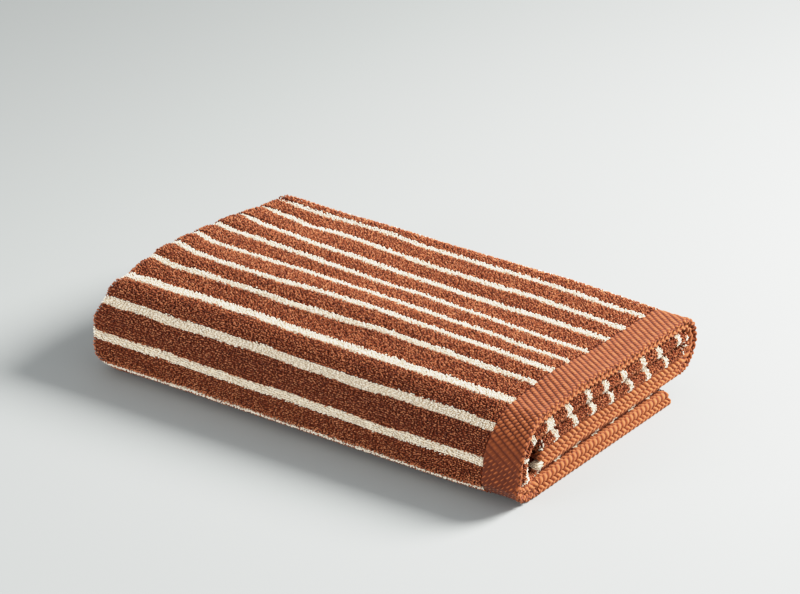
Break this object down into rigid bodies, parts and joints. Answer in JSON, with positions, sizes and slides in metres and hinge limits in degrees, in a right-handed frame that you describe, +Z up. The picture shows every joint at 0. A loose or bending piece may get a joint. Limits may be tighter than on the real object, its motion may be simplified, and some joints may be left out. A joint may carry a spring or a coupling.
{
  "type": "folded towel",
  "caption": "Striped terry bath towel, folded into a flat pad with its hemmed ends together.",
  "frame": {"origin": "under the middle of the folded towel, on the surface it lies on", "axes": "+X along the stripes towards the hemmed end, +Y across towards the small back fold, +Z up"},
  "size_m": [0.3568, 0.2224, 0.0695],
  "materials": {
    "terracotta_terry": "cotton terry with uncut loops on both faces, matt",
    "cream_terry": "cotton terry with uncut loops, matt",
    "woven_band": "flat-woven cotton band and turned hem with raised slanting ribs, matt"
  },
  "bodies": {
    "root": {"towel": "terracotta_terry"}
  },
  "joints": []
}
